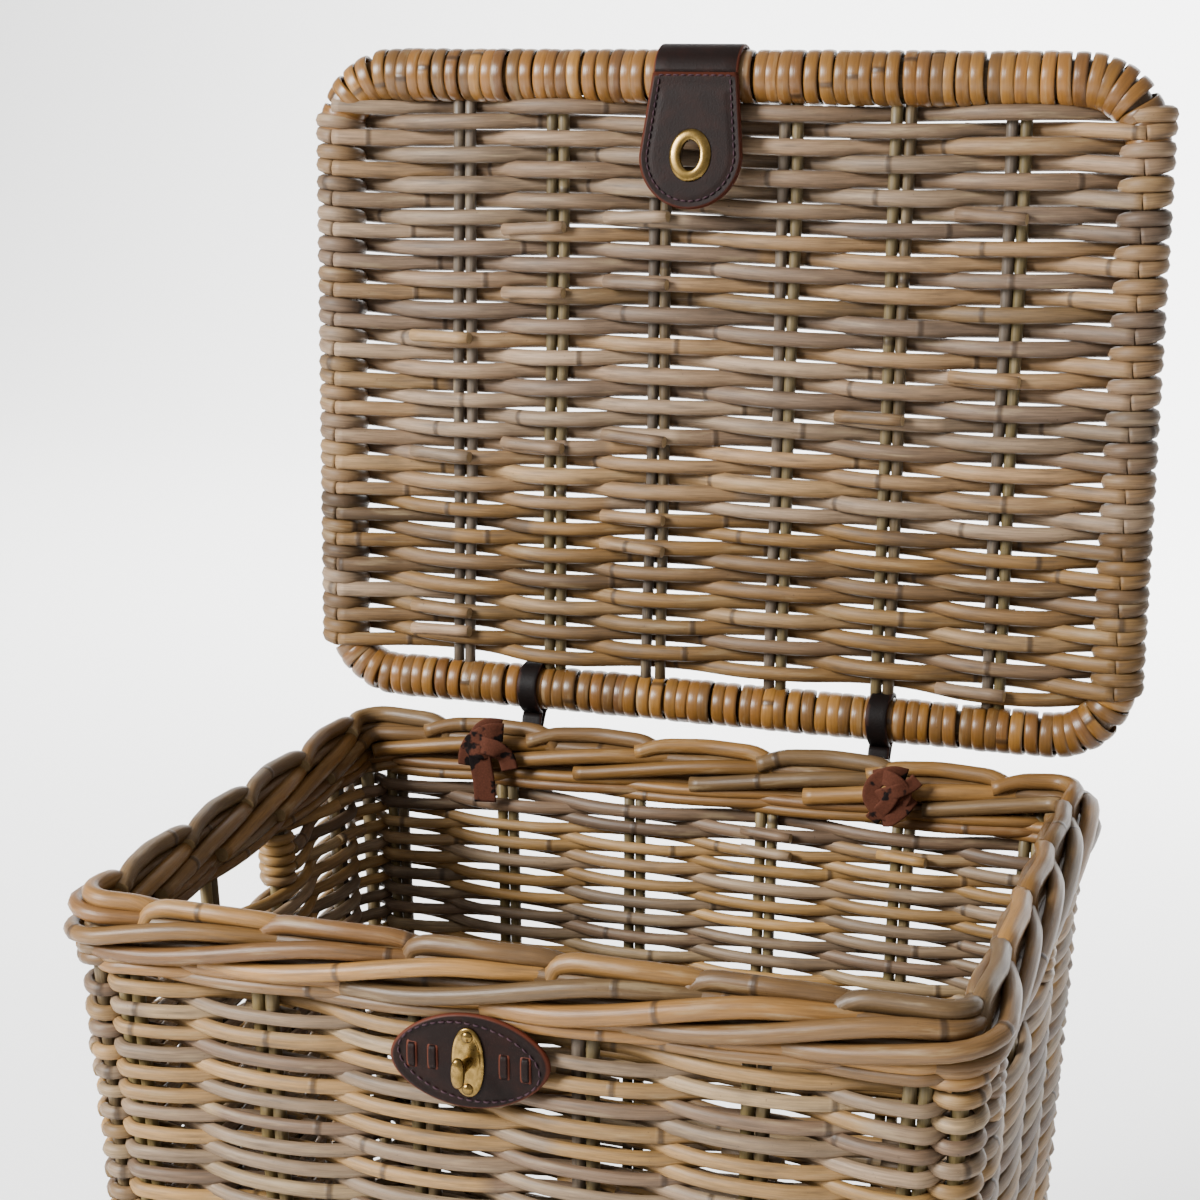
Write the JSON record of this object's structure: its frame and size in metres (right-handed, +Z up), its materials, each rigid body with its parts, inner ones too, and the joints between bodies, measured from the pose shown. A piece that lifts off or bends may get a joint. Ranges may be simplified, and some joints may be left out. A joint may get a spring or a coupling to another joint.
{
  "type": "lidded woven laundry basket",
  "caption": "Tapered woven basket with a braided border, hand holes in its sides, and a hinged woven lid that a leather strap fastens to a turnlock.",
  "frame": {"origin": "centre of the base's underside, on the floor", "axes": "+X to the right as seen from the front, +Y towards the hinged back, +Z up; the lid stands open"},
  "size_m": [0.48, 0.3943, 0.9003],
  "materials": {
    "body_rattan": "matt, peeled grey-brown rattan",
    "lid_rattan": "matt, peeled grey-taupe rattan",
    "honey_rattan": "satin, honey-coloured rattan",
    "stake_rattan": "matt, olive-brown rattan with its skin on",
    "cane_binding": "glossy flat cane",
    "strap_leather": "satin dark brown leather with raw edges",
    "lace_leather": "satin dark brown leather lace",
    "suede": "matt red-brown suede",
    "brass": "worn antique brass"
  },
  "bodies": {
    "basket": {"back_border": "honey_rattan", "back_left_corner_weave": "body_rattan", "back_right_corner_weave": "body_rattan", "back_stakes": "stake_rattan", "back_weave": "body_rattan", "base_sticks": "stake_rattan", "base_weave": "body_rattan", "border_corners": "honey_rattan", "clasp_patch": "strap_leather", "corner_stakes": "stake_rattan", "foot_border": "honey_rattan", "front_border": "honey_rattan", "front_left_corner_weave": "body_rattan", "front_right_corner_weave": "body_rattan", "front_stakes": "stake_rattan", "front_weave": "body_rattan", "hinge_knot_left": "suede", "hinge_knot_right": "suede", "hinge_thong_left": "suede", "hinge_thong_right": "suede", "left_border": "honey_rattan", "left_handle_stakes": "stake_rattan", "left_handle_wraps": "honey_rattan", "left_stakes": "stake_rattan", "left_weave_back": "body_rattan", "left_weave_front": "body_rattan", "left_weave_lower": "body_rattan", "patch_lacing": "lace_leather", "right_border": "honey_rattan", "right_handle_stakes": "stake_rattan", "right_handle_wraps": "honey_rattan", "right_stakes": "stake_rattan", "right_weave_back": "body_rattan", "right_weave_front": "body_rattan", "right_weave_lower": "body_rattan", "top_wale": "honey_rattan", "turnlock_plate": "brass", "turnlock_rivets": "brass"},
    "lid": {"lid_front_rail": "lid_rattan", "front_rail_binding": "cane_binding", "lid_front_bends": "lid_rattan", "lid_back_rail": "lid_rattan", "back_rail_binding": "cane_binding", "lid_back_bends": "lid_rattan", "lid_side_rods": "lid_rattan", "lid_side_wraps": "lid_rattan", "lid_weave": "lid_rattan", "lid_stakes": "stake_rattan", "strap_anchor": "strap_leather", "strap_ties": "lace_leather"},
    "strap_fold": {"strap_bend": "strap_leather"},
    "strap_flap": {"strap_flap": "strap_leather", "eyelet_ring": "brass", "eyelet_washer": "brass"},
    "knob": {"turnlock_knob": "brass"}
  },
  "joints": [
    {"name": "lid_hinge", "type": "hinge", "parent": "basket", "child": "lid", "pos_m": [0, 0.175, 0.5354], "axis": [-1, 0, 0], "range_deg": [-92, 0]},
    {"name": "strap_bend", "type": "hinge", "parent": "lid", "child": "strap_fold", "pos_m": [0, 0.17338, 0.89798], "axis": [-1, 0, 0], "range_deg": [0, 81.25]},
    {"name": "strap_swing", "type": "hinge", "parent": "strap_fold", "child": "strap_flap", "pos_m": [0, 0.17071, 0.88554], "axis": [-1, 0, 0], "range_deg": [-11.5, 60]},
    {"name": "knob_turn", "type": "hinge", "parent": "basket", "child": "knob", "pos_m": [-0.011, -0.175, 0.46541], "axis": [0, -1, 0], "range_deg": [-90, 0]}
  ],
  "couplings": [
    {"joint": "strap_bend", "follows": "lid_hinge", "ratio": -0.88261}
  ]
}
